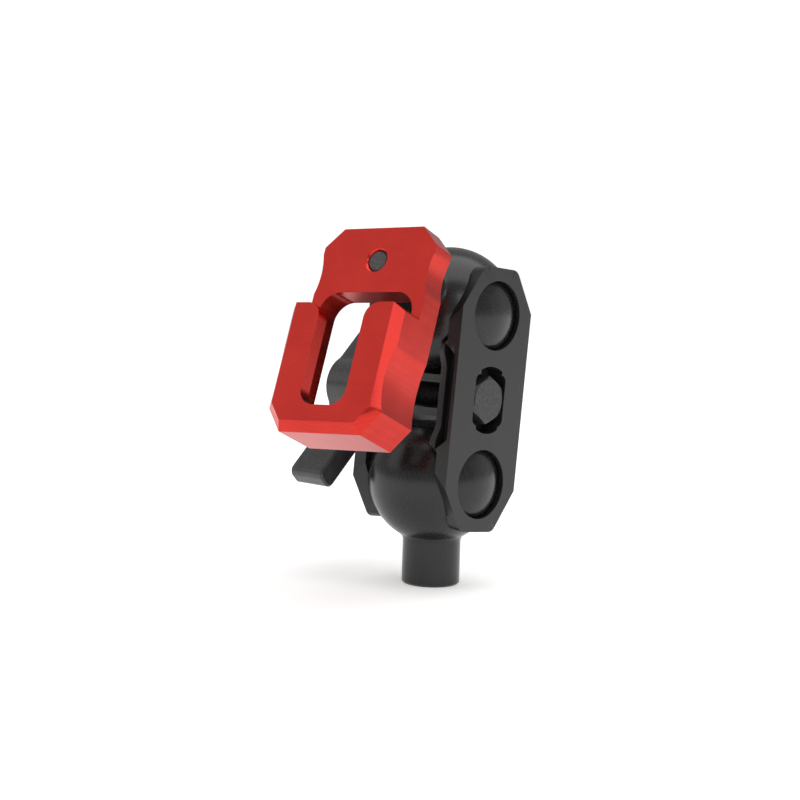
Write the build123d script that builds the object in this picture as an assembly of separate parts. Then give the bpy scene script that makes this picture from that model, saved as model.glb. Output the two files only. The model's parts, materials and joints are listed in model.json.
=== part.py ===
from build123d import *
import math
import os

# A ball-jointed clamp arm that carries an open-topped cradle. Lengths are in millimetres.
# The row frame has +Z up the lower post, +X along the clamp bolt towards its head and
# -Y towards the front of the cradle. The origin is the middle of the lower post's end face.

# Ball posts: one turned piece, used at both ends of the arm
BALL_DIAMETER = 25.4
POST_DIAMETER = 11.3
POST_LENGTH = 8.0
POST_FILLET = 1.5
POST_EDGE = 0.4
BALL_FLAT_CUT = 2.2
BALL_FLAT_EDGE = 0.3
STUD_DIAMETER = 4.0
THREAD_CLEARANCE = 0.05
POST_HOLE_DEPTH = 9.0

# Clamp plates: two eight-sided plates, mirrored about the middle of the arm
BALL_GAP = 6.75
BALL_PROUD = 0.65
SEAT_SIDE_RIM = 1.19
SEAT_END_RIM = 0.19
PLATE_WALL = 3.0
CORNER_CUT_ACROSS = 5.4
CORNER_CUT_ALONG = 8.0
CORNER_ROUND = 2.2
CORNER_DRAFT = 4.6
END_DRAFT = 0.4
HUB_STEP = 2.0
HUB_HALF_LENGTH = 10.6
HUB_SLOPE = 1.6
WINDOW_DIAMETER = 13.2
SOCKET_CLEARANCE = 0.05

# Waist grooves along both long sides of each plate
WAIST_DEPTH = 2.4
WAIST_FLANGE = 0.8
WAIST_RIB = 1.4
WAIST_HALF_OUTER = 8.0
WAIST_HALF_INNER = 10.1
WAIST_RAMP = 1.3
RIB_RECESS = 1.2
RIB_HALF_OUTER = 8.4
RIB_RAMP = 2.8

# Clamp bolt, its pocket in the near plate, and the hole in the far plate
BOLT_DIAMETER = 4.9
BOLT_LENGTH = 35.0
BOLT_TIP_CHAMFER = 0.6
HEAD_FLATS = 8.0
HEAD_HEIGHT = 3.5
HEAD_SINK = 0.1
BOLT_CLEARANCE = 0.06
POCKET_SIDE_GAP = 0.35
POCKET_HALF_HEIGHT = 4.9
POCKET_CORNER = 1.3
POCKET_LOBE_RADIUS = 6.4
POCKET_LOBE_HALF_WIDTH = 3.1

# Guide keys: four bars round the bolt, clear of both balls, that keep the plates in line
KEY_THICKNESS = 1.5
KEY_WIDTH = 1.8
KEY_GAP_ALONG = 4.9
KEY_GAP_ACROSS = 9.6
KEY_SLOT_CLEARANCE = 0.06
KEY_SEAT_DEPTH = 1.3
KEY_TRAVEL_DEPTH = 3.0
KEY_END_GAP = 0.4

# Thrust washer, lever with two arms set off to opposite sides of its hub, and the threaded bush
WASHER_DIAMETER = 12.0
WASHER_THICKNESS = 0.8
LEVER_GAP = 0.05
LEVER_HUB_DEPTH = 13.4
LEVER_HUB_RADIUS = 5.95
LEVER_ARM_DEPTH = 8.9
LEVER_ARM_WIDTH = 4.4
LEVER_ARM_OFFSET = 3.3
LEVER_REACH = 22.7
LEVER_NECK_ROUND = 4.0
LEVER_TIP_ROUND = 1.5
LEVER_EDGE = 0.4
LEVER_REST_ANGLE = 49.5
BUSH_DIAMETER = 8.0
BUSH_FLANGE_DIAMETER = 9.6
BUSH_FLANGE_THICKNESS = 1.0

# Cradle: the plate that the stud holds, the lips in front of it and the bay behind the lips
CRADLE_WIDTH = 25.3
CRADLE_TOP = 6.4
CRADLE_BOTTOM = 35.1
CRADLE_PLATE = 5.1
CRADLE_TOP_CUT = 3.65
CRADLE_FOOT_CUT_ACROSS = 3.5
CRADLE_FOOT_CUT_ALONG = 4.3
LIP_PROJECTION = 6.15
LIP_THICKNESS = 2.6
LIP_TOP = 10.8
LIP_SHOULDER_DROP = 1.15
LIP_BEVEL = 1.7
BAY_WALL = 2.1
BAY_TOP = 6.4
BAY_FLOOR = 3.6
BAY_CORNER = 4.0
SLOT_WIDTH = 10.1
SLOT_FLOOR = 4.8
SLOT_CORNER = 3.2
SLOT_MOUTH_ROUND = 3.0
UPPER_SCALLOP_HEIGHT = 2.7
UPPER_SCALLOP_HALF_LENGTH = 3.9
UPPER_SCALLOP_DEPTH = 0.6
LOWER_SCALLOP_HEIGHT = 24.7
LOWER_SCALLOP_HALF_LENGTH = 6.2
LOWER_SCALLOP_DEPTH = 0.7
STUD_MOUTH = 0.35
STUD_SINK = 0.2

# How the joints are set in the stored pose, in degrees
ARM_LEAN = -5.7
CRADLE_TILT = -17.4
CRADLE_SWING = 5.6
CRADLE_ROLL = -5.6

# Sizes that follow from the ones above
BALL_RADIUS = BALL_DIAMETER / 2
POST_RADIUS = POST_DIAMETER / 2
THREAD_RADIUS = STUD_DIAMETER / 2 + THREAD_CLEARANCE
POST_REACH = BALL_RADIUS + POST_LENGTH
BALL_FLAT = BALL_RADIUS - BALL_FLAT_CUT
FACE_X = BALL_RADIUS - BALL_PROUD
INNER_X = FACE_X - PLATE_WALL
HUB_X = INNER_X - HUB_STEP
SEAT_RADIUS = math.sqrt(BALL_RADIUS**2 - INNER_X**2)
HALF_SPACING = BALL_RADIUS + BALL_GAP / 2
PLATE_HALF_LENGTH = HALF_SPACING + SEAT_RADIUS + SEAT_END_RIM
PLATE_HALF_WIDTH = SEAT_RADIUS + SEAT_SIDE_RIM
BOLT_RADIUS = BOLT_DIAMETER / 2
HEAD_SEAT_X = FACE_X - HEAD_SINK - HEAD_HEIGHT
KEY_Z = (KEY_GAP_ALONG + KEY_THICKNESS) / 2
KEY_Y = (KEY_GAP_ACROSS + KEY_WIDTH) / 2
LEVER_FACE_X = -FACE_X - WASHER_THICKNESS - 2 * LEVER_GAP
LEVER_END_X = LEVER_FACE_X - LEVER_HUB_DEPTH
CRADLE_HALF_WIDTH = CRADLE_WIDTH / 2
BAY_HALF_WIDTH = CRADLE_HALF_WIDTH - BAY_WALL
CRADLE_FACE = POST_REACH + CRADLE_PLATE

TINY = 0.01


def across(x):
    """The plane square to the bolt at x, drawn on with Y to the right and Z up."""
    return Plane(origin=(x, 0, 0), x_dir=(0, 1, 0), z_dir=(1, 0, 0))


def upright(y):
    """The plane parallel to the cradle's face at y, drawn on with X to the right and Z up."""
    return Plane(origin=(0, y, 0), x_dir=(1, 0, 0), z_dir=(0, -1, 0))


def x_prism(face, start, end):
    """A face drawn across and along the arm, given a thickness from start to end along the bolt."""
    return extrude(across(start) * face, end - start, dir=(1, 0, 0))


def x_rod(radius, start, end):
    return x_prism(Circle(radius), start, end)


def front_prism(face, near, far):
    """A face drawn on the cradle's front, from near to far, both measured towards the back."""
    return extrude(upright(near) * face, far - near, dir=(0, 1, 0))


def polygon(*points):
    """A face from corners listed clockwise."""
    return Polygon(*reversed(points), align=None)


def ball_post():
    """A ball with a faced-off top on a tapped post that points down. The ball's centre is the origin."""
    neck = math.sqrt(BALL_RADIUS**2 - (POST_RADIUS + POST_FILLET) ** 2)
    ball = Sphere(BALL_RADIUS)
    post = Pos(0, 0, -POST_REACH) * Cylinder(
        POST_RADIUS, POST_REACH, align=(Align.CENTER, Align.CENTER, Align.MIN)
    )
    post = chamfer(post.edges().group_by(Axis.Z)[0], POST_EDGE)
    body = ball + post
    seam = body.edges().filter_by(GeomType.CIRCLE).filter_by(
        lambda e: -neck - POST_FILLET - 1 < e.center().Z < -neck + 1
    )
    body = fillet(seam, POST_FILLET)
    hole = Pos(0, 0, -POST_REACH) * Cylinder(
        THREAD_RADIUS, POST_HOLE_DEPTH, align=(Align.CENTER, Align.CENTER, Align.MIN)
    )
    cap = Pos(0, 0, BALL_FLAT) * Cylinder(
        BALL_RADIUS, BALL_RADIUS, align=(Align.CENTER, Align.CENTER, Align.MIN)
    )
    body -= hole + cap
    return chamfer(body.edges().group_by(Axis.Z)[-1], BALL_FLAT_EDGE)


def plate_outline(grow_along=0.0):
    """The eight-sided plate, with its corner cuts taken further along the arm by grow_along."""
    w, h = PLATE_HALF_WIDTH, PLATE_HALF_LENGTH
    cut_w = w - CORNER_CUT_ACROSS
    cut_h = h - CORNER_CUT_ALONG - grow_along
    end = h - grow_along * END_DRAFT / CORNER_DRAFT
    corners = [(cut_w, end), (w, cut_h), (w, -cut_h), (cut_w, -end)]
    corners += [(-y, z) for y, z in reversed(corners)]
    outline = polygon(*corners)
    ends = [v for v in outline.vertices() if abs(abs(v.X) - cut_w) < TINY]
    return fillet(ends, CORNER_ROUND)


def plate_blank():
    """The near plate before its holes: corner cuts with draft, a raised hub and waist grooves."""
    inner = across(HUB_X) * plate_outline(CORNER_DRAFT)
    blank = loft([inner, across(FACE_X) * plate_outline()], ruled=True)
    for end in (1, -1):
        foot = end * HUB_HALF_LENGTH
        crest = end * (HUB_HALF_LENGTH - HUB_SLOPE)
        beyond = end * (PLATE_HALF_LENGTH + 1)
        back = HUB_X - 1
        slope_end = crest - end * HUB_SLOPE / HUB_STEP
        points = [(back, slope_end), (INNER_X, foot), (INNER_X, beyond), (back, beyond)]
        corners = points if end > 0 else list(reversed(points))
        blank -= front_prism(polygon(*corners), -2 * PLATE_HALF_WIDTH, 2 * PLATE_HALF_WIDTH)
    for cut in (waist_groove(), rib_recess()):
        blank = blank - cut - mirror(cut, Plane.XZ)
    return blank


def waist_groove():
    """The groove between the outer flange and the inner rib, with ramped ends that widen inwards."""
    low, high = HUB_X + WAIST_RIB, FACE_X - WAIST_FLANGE
    faces = []
    for x, half in ((low, WAIST_HALF_INNER), (high, WAIST_HALF_OUTER)):
        out, floor = PLATE_HALF_WIDTH + 1, PLATE_HALF_WIDTH - WAIST_DEPTH
        ramp = WAIST_RAMP * (out - floor) / WAIST_DEPTH
        points = [(floor, half - WAIST_RAMP), (out, half + ramp - WAIST_RAMP)]
        points += [(y, -z) for y, z in reversed(points)]
        faces.append(across(x) * polygon(*points))
    return loft(faces, ruled=True)


def rib_recess():
    """The shallow recess along the inner rib, with long ramps at both ends."""
    out, floor = PLATE_HALF_WIDTH + 1, PLATE_HALF_WIDTH - RIB_RECESS
    slope = RIB_RAMP / RIB_RECESS
    points = [(floor, RIB_HALF_OUTER - RIB_RAMP), (out, RIB_HALF_OUTER + slope)]
    points += [(y, -z) for y, z in reversed(points)]
    return x_prism(polygon(*points), HUB_X - 1, HUB_X + WAIST_RIB + TINY)


def ball_seats(radius):
    return [Pos(0, 0, side * HALF_SPACING) * Rot(0, 90, 0) * Sphere(radius) for side in (1, -1)]


def drilled_plate():
    """The blank with both ball seats and both windows."""
    plate = plate_blank()
    for seat in ball_seats(BALL_RADIUS + SOCKET_CLEARANCE):
        plate -= seat
    for side in (1, -1):
        plate -= Pos(0, 0, side * HALF_SPACING) * x_rod(WINDOW_DIAMETER / 2, 0, FACE_X + 1)
    return plate


def key_bars(clearance, start, end):
    bar = Rectangle(KEY_WIDTH + 2 * clearance, KEY_THICKNESS + 2 * clearance)
    places = [(y, z) for y in (-KEY_Y, KEY_Y) for z in (-KEY_Z, KEY_Z)]
    return [x_prism(Pos(y, z) * bar, start, end) for y, z in places]


def near_plate():
    """The plate that holds the bolt head in a pocket with round reliefs."""
    half_across = HEAD_FLATS / 2 + POCKET_SIDE_GAP
    pocket = RectangleRounded(2 * half_across, 2 * POCKET_HALF_HEIGHT, POCKET_CORNER)
    lobes = Circle(POCKET_LOBE_RADIUS) & Rectangle(
        2 * POCKET_LOBE_HALF_WIDTH, 3 * POCKET_LOBE_RADIUS
    )
    plate = drilled_plate()
    plate -= x_prism(pocket + lobes, HEAD_SEAT_X, FACE_X + 1)
    plate -= x_rod(BOLT_RADIUS + BOLT_CLEARANCE, 0, FACE_X)
    for seat in key_bars(0, 0, HUB_X + KEY_SEAT_DEPTH):
        plate -= seat
    return plate


def far_plate():
    """The mirrored plate, with a plain bolt hole and slots that the guide keys slide in."""
    plate = mirror(drilled_plate(), Plane.YZ)
    plate -= x_rod(BOLT_RADIUS + BOLT_CLEARANCE, -FACE_X - 1, 0)
    for track in key_bars(KEY_SLOT_CLEARANCE, -HUB_X - KEY_TRAVEL_DEPTH, 0):
        plate -= track
    return plate


def guide_keys():
    """Four bars pressed into the near plate's hub, which slide in the far plate's tracks."""
    far_end = -HUB_X - KEY_TRAVEL_DEPTH + KEY_END_GAP
    return Compound(children=key_bars(0, far_end, HUB_X + KEY_SEAT_DEPTH))


def clamp_bolt():
    """A hexagon-head bolt with a chamfered head and a tapered tip."""
    head_radius = HEAD_FLATS / math.sqrt(3)
    head = x_prism(
        RegularPolygon(head_radius, 6, rotation=30), HEAD_SEAT_X, HEAD_SEAT_X + HEAD_HEIGHT
    )
    head_round = x_rod(head_radius, HEAD_SEAT_X, HEAD_SEAT_X + HEAD_HEIGHT)
    head_round = chamfer(head_round.edges().sort_by(Axis.X)[-1], 0.35, 0.7)
    tip = HEAD_SEAT_X - BOLT_LENGTH
    shank = x_rod(BOLT_RADIUS, tip, HEAD_SEAT_X)
    shank = chamfer(shank.edges().sort_by(Axis.X)[0], BOLT_TIP_CHAMFER)
    return (head & head_round) + shank


def thrust_washer():
    """A plain washer between the far plate and the lever."""
    start = -FACE_X - LEVER_GAP - WASHER_THICKNESS
    ring = Circle(WASHER_DIAMETER / 2) - Circle(BOLT_RADIUS + 2 * BOLT_CLEARANCE)
    return x_prism(ring, start, start + WASHER_THICKNESS)


def lever():
    """A pinwheel lever: each arm runs past the hub on its own side. The bore holds the bush."""
    profile = Circle(LEVER_HUB_RADIUS)
    for side in (1, -1):
        arm = Rectangle(LEVER_REACH, LEVER_ARM_WIDTH)
        profile += Pos(side * LEVER_REACH / 2, side * LEVER_ARM_OFFSET) * arm
    necks = [v for v in profile.vertices() if abs(v.X) < LEVER_HUB_RADIUS + 1]
    profile = fillet(necks, LEVER_NECK_ROUND)
    tips = [v for v in profile.vertices() if abs(v.X) > LEVER_REACH - TINY]
    profile = fillet(tips, LEVER_TIP_ROUND)
    turned = Rot(0, 0, LEVER_REST_ANGLE) * profile
    arms = x_prism(turned, LEVER_END_X, LEVER_END_X + LEVER_ARM_DEPTH)
    body = chamfer(arms.edges().filter_by(Plane.YZ), LEVER_EDGE)
    body += x_rod(LEVER_HUB_RADIUS, LEVER_END_X + LEVER_EDGE, LEVER_FACE_X)
    body -= x_rod(BUSH_DIAMETER / 2, LEVER_END_X - 1, LEVER_FACE_X + 1)
    return body - x_rod(BUSH_FLANGE_DIAMETER / 2, LEVER_END_X - 1, LEVER_END_X + BUSH_FLANGE_THICKNESS)


def lever_bush():
    """The flanged bush pressed into the lever, threaded for the clamp bolt."""
    bush = x_rod(BUSH_DIAMETER / 2, LEVER_END_X, LEVER_FACE_X)
    bush += x_rod(BUSH_FLANGE_DIAMETER / 2, LEVER_END_X, LEVER_END_X + BUSH_FLANGE_THICKNESS)
    return bush - x_rod(BOLT_RADIUS + BOLT_CLEARANCE, LEVER_END_X - 1, LEVER_FACE_X + 1)


def scallops(height, half_length, depth):
    """Two round cutters, one for each side of the cradle."""
    radius = (half_length**2 + depth**2) / (2 * depth)
    middle = CRADLE_HALF_WIDTH + radius - depth
    return [
        front_prism(Pos(side * middle, -height) * Circle(radius), -LIP_PROJECTION - 1, CRADLE_PLATE + 1)
        for side in (1, -1)
    ]


def cradle_outline(top, top_cut_across, top_cut_along):
    w, foot = CRADLE_HALF_WIDTH, -CRADLE_BOTTOM
    right = [
        (w - top_cut_across, top),
        (w, top - top_cut_along),
        (w, foot + CRADLE_FOOT_CUT_ALONG),
        (w - CRADLE_FOOT_CUT_ACROSS, foot),
    ]
    return polygon(*right, *[(-x, z) for x, z in reversed(right)])


def lip_block():
    """The block that stands forward of the plate, with one bevel round its front edge."""
    outline = cradle_outline(-LIP_TOP, LIP_BEVEL, LIP_SHOULDER_DROP)
    block = front_prism(outline, -LIP_PROJECTION, 0)
    front = block.edges().group_by(Axis.Y)[0]
    rim = front.filter_by(lambda e: e.center().Z < -LIP_TOP - LIP_SHOULDER_DROP * 0.9)
    return chamfer(rim, LIP_BEVEL)


def bay():
    """The space behind the lips, which goes on through the plate as a window."""
    floor = -CRADLE_BOTTOM + BAY_FLOOR
    height = -BAY_TOP - floor
    shape = Pos(0, floor + height / 2) * RectangleRounded(2 * BAY_HALF_WIDTH, height, BAY_CORNER)
    window = front_prism(shape, -LIP_PROJECTION + LIP_THICKNESS, CRADLE_PLATE + 1)
    top = Pos(0, -LIP_TOP) * Rectangle(2 * BAY_HALF_WIDTH, height)
    return window + front_prism(top, -LIP_PROJECTION + LIP_THICKNESS, 0)


def slot():
    """The slot between the two lips, open at the top, with rounded mouth and floor corners."""
    floor, top = -CRADLE_BOTTOM + SLOT_FLOOR, -LIP_TOP
    half = SLOT_WIDTH / 2
    flare = half + SLOT_MOUTH_ROUND
    shape = Pos(0, (floor + top) / 2 + 5) * Rectangle(SLOT_WIDTH, top - floor + 10)
    shape = fillet(shape.vertices().group_by(Axis.Y)[0], SLOT_CORNER)
    mouth = Pos(0, top - SLOT_MOUTH_ROUND / 2) * Rectangle(2 * flare, SLOT_MOUTH_ROUND)
    for side in (1, -1):
        mouth -= Pos(side * flare, top - SLOT_MOUTH_ROUND) * Circle(SLOT_MOUTH_ROUND)
    return front_prism(shape + mouth, -LIP_PROJECTION - 1, -LIP_PROJECTION + LIP_THICKNESS + TINY)


def cradle():
    """The billet cradle. The stud's axis is the local Y axis and the plate's face is at y = 0."""
    body = front_prism(
        cradle_outline(CRADLE_TOP, CRADLE_TOP_CUT, CRADLE_TOP_CUT), 0, CRADLE_PLATE
    )
    body += lip_block()
    body -= bay()
    body -= slot()
    heights = (
        (UPPER_SCALLOP_HEIGHT, UPPER_SCALLOP_HALF_LENGTH, UPPER_SCALLOP_DEPTH),
        (LOWER_SCALLOP_HEIGHT, LOWER_SCALLOP_HALF_LENGTH, LOWER_SCALLOP_DEPTH),
    )
    for height, half_length, depth in heights:
        for cutter in scallops(height, half_length, depth):
            body -= cutter
    body -= front_prism(Circle(THREAD_RADIUS), -1, CRADLE_PLATE + 1)
    mouth = Pos(0, STUD_MOUTH / 2, 0) * Rot(90, 0, 0) * Cone(
        THREAD_RADIUS, THREAD_RADIUS + STUD_MOUTH, STUD_MOUTH
    )
    return body - mouth


def cradle_stud():
    """The threaded stud that joins the cradle to the upper ball post."""
    end = CRADLE_PLATE + POST_HOLE_DEPTH - 1
    stud = front_prism(Circle(STUD_DIAMETER / 2), STUD_SINK, end)
    return chamfer(stud.edges().filter_by(GeomType.CIRCLE), 0.3)


ARM = Pos(0, 0, POST_REACH) * Rot(ARM_LEAN, 0, 0) * Pos(0, 0, HALF_SPACING)
UPPER_BALL = ARM * Pos(0, 0, HALF_SPACING)
HEADING = UPPER_BALL * Rot(CRADLE_TILT, 0, 0) * Rot(0, 0, CRADLE_SWING) * Rot(0, CRADLE_ROLL, 0)
CRADLE = HEADING * Pos(0, -CRADLE_FACE, 0)

NODES = {
    "lower_ball_post": Pos(0, 0, POST_REACH) * ball_post(),
    "upper_ball_post": HEADING * Rot(-90, 0, 0) * ball_post(),
    "near_plate": ARM * near_plate(),
    "far_plate": ARM * far_plate(),
    "guide_keys": ARM * guide_keys(),
    "clamp_bolt": ARM * clamp_bolt(),
    "thrust_washer": ARM * thrust_washer(),
    "lever": ARM * lever(),
    "lever_bush": ARM * lever_bush(),
    "cradle": CRADLE * cradle(),
    "cradle_stud": CRADLE * cradle_stud(),
}

os.makedirs("parts", exist_ok=True)
for name, shape in NODES.items():
    export_step(shape, f"parts/{name}.step")
    print(name, round(shape.volume, 1))
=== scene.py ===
import json
import math

import bmesh
import bpy
from mathutils import Matrix, Vector


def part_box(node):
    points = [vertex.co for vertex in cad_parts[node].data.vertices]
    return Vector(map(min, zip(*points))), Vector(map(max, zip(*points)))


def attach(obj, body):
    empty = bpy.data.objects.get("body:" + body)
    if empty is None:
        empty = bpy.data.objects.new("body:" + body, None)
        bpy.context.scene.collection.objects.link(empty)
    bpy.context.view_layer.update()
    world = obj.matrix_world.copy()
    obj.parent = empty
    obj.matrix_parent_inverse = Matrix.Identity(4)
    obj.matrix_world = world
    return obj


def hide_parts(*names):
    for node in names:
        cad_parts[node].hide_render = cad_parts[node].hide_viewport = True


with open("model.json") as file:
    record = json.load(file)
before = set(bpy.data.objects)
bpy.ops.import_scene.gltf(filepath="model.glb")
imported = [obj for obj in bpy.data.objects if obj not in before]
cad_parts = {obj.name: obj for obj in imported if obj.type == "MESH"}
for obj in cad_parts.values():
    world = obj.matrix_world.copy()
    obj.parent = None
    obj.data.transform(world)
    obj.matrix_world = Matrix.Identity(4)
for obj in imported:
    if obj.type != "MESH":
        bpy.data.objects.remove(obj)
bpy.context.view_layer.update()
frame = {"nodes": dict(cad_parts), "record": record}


# --- Lower ball post ---------------------------------------------------------------------
# One turned aluminium piece: a 25.4 mm ball with a faced-off top on a short tapped post.
# It is black anodised, so the tool's fine marks still show as faint streaks under the satin.

pivots = {joint["name"]: joint.get("pos_m") for joint in frame["record"]["behaviour"]["joints"]}
UPRIGHT = (0, 0, 0)


class Wire:
    """One output socket of a finish. A sum written on it adds the Math node that does it."""

    def __init__(self, finish, socket):
        self.finish = finish
        self.socket = socket

    def math(self, operation, other):
        return self.finish.add("ShaderNodeMath", {"operation": operation}, {0: self, 1: other})

    def __add__(self, other):
        return self.math("ADD", other)

    def __mul__(self, other):
        return self.math("MULTIPLY", other)

    __radd__ = __add__
    __rmul__ = __mul__


class Finish:
    """A material with one Principled surface, laid out on a piece's own origin and axes."""

    def __init__(self, name, origin=(0, 0, 0), turn=UPRIGHT, **constants):
        self.origin = origin
        self.turn = turn
        self.material = bpy.data.materials.new(name)
        self.material.use_nodes = True
        self.tree = self.material.node_tree
        self.surface = self.tree.nodes["Principled BSDF"]
        for socket, value in constants.items():
            self.surface.inputs[socket.replace("_", " ")].default_value = value

    def add(self, kind, settings=None, inputs=None, output=0):
        """Adds a node of any type. A ramp's stops are a setting: pairs of place and colour."""
        node = self.tree.nodes.new(kind)
        for name, value in (settings or {}).items():
            if name == "stops":
                while len(node.color_ramp.elements) < len(value):
                    node.color_ramp.elements.new(0.5)
                for element, (place, colour) in zip(node.color_ramp.elements, value):
                    element.position = place
                    element.color = (*colour, 1)
            else:
                setattr(node, name, value)
        for key, value in (inputs or {}).items():
            self.feed(node.inputs[key], value)
        return Wire(self, node.outputs[output])

    def feed(self, socket, value):
        if isinstance(value, Wire):
            self.tree.links.new(value.socket, socket)
        else:
            socket.default_value = value

    def place(self, stretch=(1, 1, 1), origin=None):
        """Object coordinates seen from the finish's origin and axes, then divided by stretch."""
        here = self.add("ShaderNodeTexCoord", output="Object")
        local = self.add(
            "ShaderNodeMapping",
            {"vector_type": "TEXTURE"},
            {"Vector": here, "Location": origin or self.origin, "Rotation": self.turn},
        )
        return self.add("ShaderNodeMapping", {"vector_type": "TEXTURE"}, {"Vector": local, "Scale": stretch})

    def noise(self, speck, detail=3.0, rough=0.5):
        """Soft specks of a size in metres, the same each way or given along X, Y and Z."""
        stretch = speck if isinstance(speck, tuple) else (speck, speck, speck)
        inputs = {"Vector": self.place(stretch), "Scale": 1.0, "Detail": detail, "Roughness": rough}
        return self.add("ShaderNodeTexNoise", {"normalize": True}, inputs)

    def tint(self, amount, stops):
        return self.add("ShaderNodeValToRGB", {"stops": stops}, {0: amount})

    def wear(self, colour, roughness=None, height=None, depth=0.00001, strength=0.35):
        """Links what changes over the surface: its colour, its roughness and its relief."""
        self.feed(self.surface.inputs["Base Color"], colour)
        if roughness is not None:
            self.feed(self.surface.inputs["Roughness"], roughness)
        if height is not None:
            inputs = {"Height": height, "Distance": depth, "Strength": strength}
            self.feed(self.surface.inputs["Normal"], self.add("ShaderNodeBump", None, inputs))

    def coat(self, *nodes):
        for name in nodes:
            mesh = frame["nodes"][name].data
            mesh.materials.clear()
            mesh.materials.append(self.material)


def turned_black(name, origin, turn):
    """Black anodising over fine streaks that run along the post."""
    finish = Finish(name, origin, turn, Metallic=0.0, Roughness=0.36, IOR=1.5)
    streaks = finish.noise((0.00022, 0.00022, 0.02), 2.0, 0.6)
    cloud = finish.noise(0.006)
    grain = finish.noise(0.00012, 1.0)
    dye = [(0.3, (0.003, 0.003, 0.0032)), (0.5, (0.007, 0.007, 0.0073)), (0.72, (0.016, 0.016, 0.0164))]
    finish.wear(
        finish.tint(streaks * 0.7 + cloud * 0.3, dye),
        0.1 + streaks * 0.22 + cloud * 0.08,
        streaks * 0.7 + grain * 0.12,
    )
    return finish


turned_black("black anodised lower ball", pivots["arm_tilt"], UPRIGHT).coat("lower_ball_post")


# --- Near plate and far plate ------------------------------------------------------------
# Two milled aluminium plates that grip both balls between their round seats. They are
# black anodised: an even charcoal satin with a very fine grain and lightly broken edges.

ARM_LEAN = -5.7
ARM_MIDDLE = pivots["lever_turn"]
ARM_TURN = (math.radians(ARM_LEAN), 0, 0)


def milled_black(name, tone, rough, feed_mark):
    """Black anodising over a milled face, with a fine grain and faint feed lines."""
    finish = Finish(name, ARM_MIDDLE, ARM_TURN, Metallic=0.0, Roughness=rough, IOR=1.5)
    grain = finish.noise(0.00016, 2.0, 0.7)
    cloud = finish.noise((0.005, 0.005, 0.009))
    feed = finish.noise(feed_mark, 1.0)
    light = tuple(channel * 1.5 for channel in tone)
    dark = tuple(channel * 0.62 for channel in tone)
    finish.wear(
        finish.tint(grain * 0.5 + cloud * 0.3 + feed * 0.2, [(0.36, dark), (0.5, tone), (0.66, light)]),
        rough - 0.1 + grain * 0.12 + cloud * 0.08,
        grain * 0.6 + feed * 0.4,
        depth=0.000012,
        strength=0.4,
    )
    return finish


def break_edges(node, width):
    """The light edge break that a file or a tumbler leaves on a milled piece."""
    solid = frame["nodes"][node]
    weld = solid.modifiers.new("one skin", "WELD")
    weld.merge_threshold = 0.000002
    rounding = solid.modifiers.new("edge break", "BEVEL")
    rounding.width = width
    rounding.segments = 2
    rounding.limit_method = "ANGLE"
    rounding.angle_limit = math.radians(28)
    rounding.use_clamp_overlap = True
    rounding.miter_outer = "MITER_ARC"
    flats = solid.modifiers.new("flat faces", "WEIGHTED_NORMAL")
    flats.mode = "FACE_AREA"
    flats.weight = 100


PLATE_TONE = (0.012, 0.0118, 0.0118)
PLATE_FEED_MARK = (0.004, 0.004, 0.00025)
PLATE_EDGE = 0.00015

plate_black = milled_black("black anodised plate", PLATE_TONE, 0.32, PLATE_FEED_MARK)
plate_black.coat("near_plate", "far_plate")
break_edges("near_plate", PLATE_EDGE)
break_edges("far_plate", PLATE_EDGE)


# --- Guide keys --------------------------------------------------------------------------
# Four steel bars pressed into the near plate. They slide in the far plate's tracks and keep
# the two plates in line. They are dark, with fine scratches along the way they slide.

key_steel = Finish("ground key steel", ARM_MIDDLE, ARM_TURN, Metallic=0.6, Roughness=0.42, IOR=1.6)
scratches = key_steel.noise((0.006, 0.00012, 0.00012), 2.0)
key_steel.wear(
    key_steel.tint(scratches, [(0.3, (0.03, 0.03, 0.032)), (0.7, (0.08, 0.08, 0.083))]),
    0.3 + scratches * 0.2,
    scratches,
    depth=0.000008,
    strength=0.3,
)
key_steel.coat("guide_keys")


# --- Clamp bolt --------------------------------------------------------------------------
# An M5 hexagon bolt in black oxide. Its head sits in the near plate's pocket and its rolled
# thread crosses the gap, so the thread is made for real here in place of the plain shank.

PITCH = 0.0008
THREAD_TURNS = 44
THREAD_STEPS = 28
THREAD_ROOT = 0.00196
THREAD_CREST = 0.00244
THREAD_FLAT = 0.0001
HEAD_HEIGHT = 0.0035
HEAD_OVERLAP = 0.0001
TIP_TRIM = 0.00003

bolt_low, bolt_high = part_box("clamp_bolt")
head_seat = bolt_high[0] - HEAD_HEIGHT

bolt_metal = Finish("black oxide steel", ARM_MIDDLE, ARM_TURN, Metallic=0.35, Roughness=0.4, IOR=1.5)
oxide = bolt_metal.noise(0.0007, 4.0, 0.6)
speckle = bolt_metal.noise(0.00013, 1.0)
bolt_metal.wear(
    bolt_metal.tint(
        oxide * 0.6 + speckle * 0.4,
        [(0.35, (0.028, 0.028, 0.029)), (0.65, (0.075, 0.075, 0.077))],
    ),
    0.3 + oxide * 0.22,
    oxide * 0.5 + speckle * 0.5,
)
bolt_metal.coat("clamp_bolt")

bolt = bmesh.new()
bolt.from_mesh(frame["nodes"]["clamp_bolt"].data)
bmesh.ops.remove_doubles(bolt, verts=bolt.verts, dist=0.000001)
bmesh.ops.bisect_plane(
    bolt,
    geom=bolt.verts[:] + bolt.edges[:] + bolt.faces[:],
    plane_co=(head_seat - HEAD_OVERLAP, 0, 0),
    plane_no=(1, 0, 0),
    clear_inner=True,
)

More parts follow.
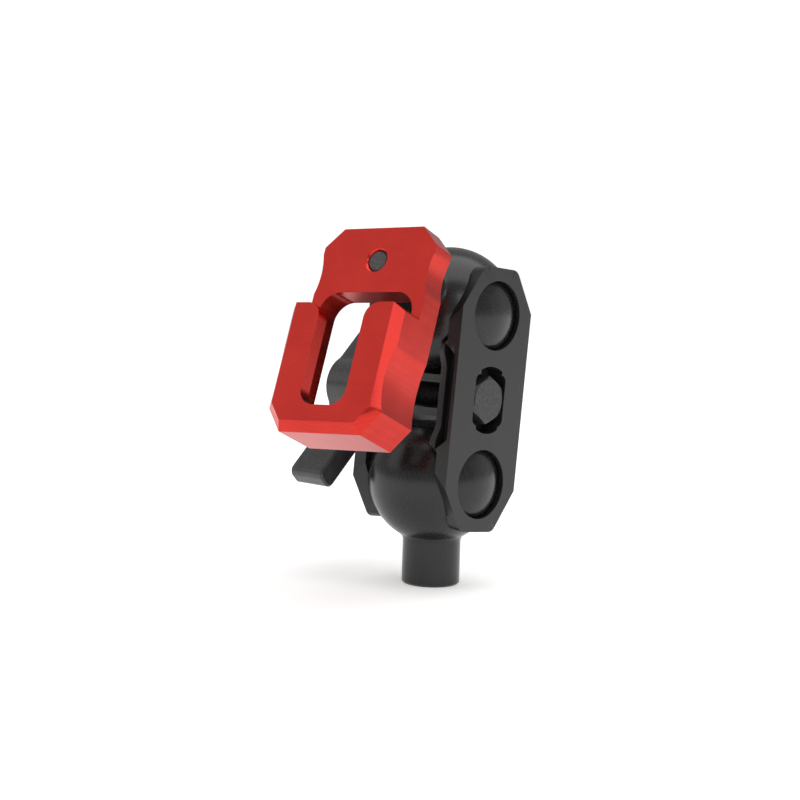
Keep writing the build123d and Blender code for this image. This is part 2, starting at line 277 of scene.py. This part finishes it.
thread = bmesh.new()
half_flank = (PITCH - 2 * THREAD_FLAT) / 2
ridge = [(0, THREAD_ROOT), (half_flank, THREAD_CREST), (half_flank + THREAD_FLAT, THREAD_CREST)]
ridge += [(PITCH - THREAD_FLAT, THREAD_ROOT), (PITCH, THREAD_ROOT)]
corners = [thread.verts.new((along, 0, radius)) for along, radius in ridge]
flanks = [thread.edges.new(pair) for pair in zip(corners, corners[1:])]
bmesh.ops.spin(
    thread,
    geom=corners + flanks,
    cent=(0, 0, 0),
    axis=(1, 0, 0),
    dvec=(PITCH / THREAD_STEPS, 0, 0),
    angle=2 * math.pi * THREAD_TURNS,
    steps=THREAD_STEPS * THREAD_TURNS,
    use_merge=False,
)
bmesh.ops.remove_doubles(thread, verts=thread.verts, dist=0.00002)
bmesh.ops.translate(thread, verts=thread.verts, vec=(bolt_low[0] - PITCH, ARM_MIDDLE[1], ARM_MIDDLE[2]))
for end, outward in ((bolt_low[0] + TIP_TRIM, -1), (head_seat, 1)):
    cut = bmesh.ops.bisect_plane(
        thread,
        geom=thread.verts[:] + thread.edges[:] + thread.faces[:],
        plane_co=(end, 0, 0),
        plane_no=(outward, 0, 0),
        clear_outer=True,
    )
    rim = [item for item in cut["geom_cut"] if isinstance(item, bmesh.types.BMEdge)]
    bmesh.ops.edgeloop_fill(thread, edges=rim)
bmesh.ops.recalc_face_normals(thread, faces=thread.faces)
rolled = bpy.data.meshes.new("rolled thread")
thread.to_mesh(rolled)
thread.free()
bolt.from_mesh(rolled)
bpy.data.meshes.remove(rolled)
bolt_mesh = bpy.data.meshes.new("threaded_clamp_bolt")
bolt.to_mesh(bolt_mesh)
bolt.free()
bolt_mesh.materials.append(bolt_metal.material)
threaded_bolt = bpy.data.objects.new("threaded_clamp_bolt", bolt_mesh)
bpy.context.collection.objects.link(threaded_bolt)
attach(threaded_bolt, "arm")
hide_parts("clamp_bolt")


# --- Thrust washer and lever bush --------------------------------------------------------
# A plain steel washer keeps the lever's hub off the far plate, and a flanged steel bush
# pressed into the hub carries the thread. Both are turned and left as dull grey metal.

bush_steel = Finish("turned bush steel", ARM_MIDDLE, ARM_TURN, Metallic=0.85, Roughness=0.38, IOR=1.6)
rings = bush_steel.noise((0.0002, 0.003, 0.003), 2.0)
stain = bush_steel.noise(0.0015, 4.0)
bush_steel.wear(
    bush_steel.tint(rings * 0.5 + stain * 0.5, [(0.35, (0.2, 0.2, 0.205)), (0.65, (0.38, 0.38, 0.385))]),
    0.28 + stain * 0.2,
    rings,
    depth=0.000008,
    strength=0.3,
)
bush_steel.coat("thrust_washer", "lever_bush")


# --- Lever -------------------------------------------------------------------------------
# A milled aluminium pinwheel lever: each arm runs past the hub on its own side. It is
# anodised like the plates, but a little greyer and glossier.

LEVER_TONE = (0.045, 0.045, 0.0455)
LEVER_FEED_MARK = (0.00025, 0.004, 0.004)
LEVER_EDGE = 0.0002

milled_black("black anodised lever", LEVER_TONE, 0.26, LEVER_FEED_MARK).coat("lever")
break_edges("lever", LEVER_EDGE)


# --- Upper ball post and cradle stud -----------------------------------------------------
# The same ball post as below, tilted forward, and the plain steel stud that screws the
# cradle to it. Only the stud's dull cut end is seen, just inside its hole.

CRADLE_TILT = -17.4
CRADLE_SWING = 5.6
CRADLE_ROLL = -5.6
BALL_CENTRE = pivots["cradle_tilt"]
HEADING = (
    Matrix.Rotation(math.radians(ARM_LEAN + CRADLE_TILT), 3, "X")
    @ Matrix.Rotation(math.radians(CRADLE_SWING), 3, "Z")
    @ Matrix.Rotation(math.radians(CRADLE_ROLL), 3, "Y")
)
POST_TURN = (HEADING @ Matrix.Rotation(math.radians(-90), 3, "X")).to_euler()

turned_black("black anodised upper ball", BALL_CENTRE, POST_TURN).coat("upper_ball_post")

stud_steel = Finish("cut stud steel", BALL_CENTRE, POST_TURN, Metallic=0.5, Roughness=0.5, IOR=1.6)
grit = stud_steel.noise(0.0003, 4.0)
stud_steel.wear(
    stud_steel.tint(grit, [(0.35, (0.06, 0.055, 0.052)), (0.65, (0.12, 0.11, 0.105))]),
    0.4 + grit * 0.2,
    grit,
    strength=0.4,
)
stud_steel.coat("cradle_stud")


# --- Cradle ------------------------------------------------------------------------------
# One billet of aluminium, milled and red anodised: a plate with a window, and two lips in
# front of it with an open-topped slot between them. Cutter marks show faintly under the dye.

CRADLE_FACE = 0.0258
CRADLE_EDGE = 0.0002
CUTTER_OFFSET = Vector((0.001, 0, -0.014))
RED_DYE = [(0.35, (0.51, 0.02, 0.012)), (0.5, (0.58, 0.025, 0.016)), (0.65, (0.64, 0.031, 0.02))]

cradle_origin = Vector(BALL_CENTRE) + HEADING @ Vector((0, -CRADLE_FACE, 0))
cradle_red = Finish(
    "red anodised cradle",
    cradle_origin,
    HEADING.to_euler(),
    Metallic=1.0,
    Coat_Weight=0.3,
    Coat_IOR=1.5,
    Coat_Roughness=0.16,
)
red_grain = cradle_red.noise(0.00016, 2.0)
red_cloud = cradle_red.noise(0.007)
feed_lines = cradle_red.noise((0.01, 0.0002, 0.0004), 2.0)
cutter_arcs = cradle_red.add(
    "ShaderNodeTexWave",
    {"wave_type": "RINGS", "rings_direction": "Y"},
    {
        "Vector": cradle_red.place(origin=cradle_origin + HEADING @ CUTTER_OFFSET),
        "Scale": 480.0,
        "Distortion": 1.5,
        "Detail": 2.0,
        "Detail Scale": 0.4,
    },
    output="Fac",
)
cradle_red.wear(
    cradle_red.tint(red_grain * 0.3 + red_cloud * 0.5 + cutter_arcs * 0.08 + feed_lines * 0.12, RED_DYE),
    0.24 + cutter_arcs * 0.03 + red_cloud * 0.1,
    red_grain * 0.35 + cutter_arcs * 0.3 + feed_lines * 0.35,
)
cradle_red.coat("cradle")
break_edges("cradle", CRADLE_EDGE)


# --- Studio ------------------------------------------------------------------------------
# A white paper floor that glows more the further off it is, so that it meets the white
# backdrop with no line. Four soft lights, and the camera low at the front right corner.

FLOOR_HALF_SIZE = 3
GLOW_REACH = 0.6
GLOW = [(0.0, (0.64, 0.64, 0.64)), (1.0, (0.4, 0.398, 0.396))]
PAPER = [(0.0, (0.93, 0.925, 0.92)), (1.0, (0.96, 0.955, 0.95))]

floor_mesh = bmesh.new()
bmesh.ops.create_grid(floor_mesh, x_segments=1, y_segments=1, size=FLOOR_HALF_SIZE)
floor_data = bpy.data.meshes.new("floor")
floor_mesh.to_mesh(floor_data)
floor_mesh.free()
floor = bpy.data.objects.new("floor", floor_data)
bpy.context.collection.objects.link(floor)
paper = Finish("white paper", Roughness=0.9, IOR=1.3, Emission_Strength=1.0)
paper.wear(paper.tint(paper.noise(0.02), PAPER))
nearness = paper.add(
    "ShaderNodeTexGradient",
    {"gradient_type": "SPHERICAL"},
    {"Vector": paper.place((GLOW_REACH, GLOW_REACH, GLOW_REACH))},
    output="Fac",
)
paper.feed(paper.surface.inputs["Emission Color"], paper.tint(nearness, GLOW))
floor_data.materials.append(paper.material)

TENT_LIGHT = (0.4, 0.4, 0.4, 1)
BACKDROP = (1.1, 1.1, 1.1, 1)

world = bpy.context.scene.world or bpy.data.worlds.new("tent")
bpy.context.scene.world = world
world.use_nodes = True
tent = world.node_tree.nodes["Background"]
tent.inputs["Strength"].default_value = 1.0
seen = world.node_tree.nodes.new("ShaderNodeLightPath")
cloth = world.node_tree.nodes.new("ShaderNodeMix")
cloth.data_type = "RGBA"
cloth.inputs[6].default_value = TENT_LIGHT
cloth.inputs[7].default_value = BACKDROP
world.node_tree.links.new(seen.outputs["Is Camera Ray"], cloth.inputs[0])
world.node_tree.links.new(cloth.outputs[2], tent.inputs["Color"])


def soft_light(name, place, target, size, watts):
    lamp = bpy.data.lights.new(name, "AREA")
    lamp.shape = "RECTANGLE"
    lamp.size, lamp.size_y = size
    lamp.energy = watts
    holder = bpy.data.objects.new(name, lamp)
    bpy.context.collection.objects.link(holder)
    toward = Vector(target) - Vector(place)
    holder.matrix_world = Matrix.Translation(place) @ toward.to_track_quat("-Z", "Y").to_matrix().to_4x4()


soft_light("key", (0.75, -0.35, 0.5), (0, 0, 0.04), (0.3, 0.3), 0.6)
soft_light("top", (0.1, 0.1, 0.8), (0, 0, 0), (0.9, 0.9), 4.0)
soft_light("left front", (-0.55, -0.65, 0.5), (0, 0, 0.04), (0.5, 0.6), 0.5)
soft_light("right back", (0.7, 0.8, 0.25), (0, 0, 0.04), (0.8, 0.6), 0.35)

AZIMUTH = math.radians(42.913)
ELEVATION = math.radians(5.294)
ROLL = math.radians(1.732)
DISTANCE = 0.34522
SENSOR_WIDTH = 36
FOCAL_LENGTH = 80.199
AIM_HEIGHT = 0.0367
AIM_LEFT = 0.006992
AIM_DOWN = 0.001093

toward_camera = Vector(
    (math.sin(AZIMUTH) * math.cos(ELEVATION), -math.cos(AZIMUTH) * math.cos(ELEVATION), math.sin(ELEVATION))
)
level_right = Vector((math.cos(AZIMUTH), math.sin(AZIMUTH), 0))
level_up = toward_camera.cross(level_right)
aim = Vector((0, 0, AIM_HEIGHT)) - AIM_LEFT * level_right - AIM_DOWN * level_up
camera_right = level_right * math.cos(ROLL) + level_up * math.sin(ROLL)
camera_up = level_up * math.cos(ROLL) - level_right * math.sin(ROLL)
eye = aim + DISTANCE * toward_camera
lens = bpy.data.cameras.new("camera")
lens.sensor_width = SENSOR_WIDTH
lens.lens = FOCAL_LENGTH
lens.clip_start = 0.01
camera = bpy.data.objects.new("camera", lens)
bpy.context.collection.objects.link(camera)
camera.matrix_world = Matrix(
    [(camera_right[i], camera_up[i], toward_camera[i], eye[i]) for i in range(3)] + [(0, 0, 0, 1)]
)
bpy.context.scene.camera = camera
bpy.context.scene.view_settings.view_transform = "Standard"
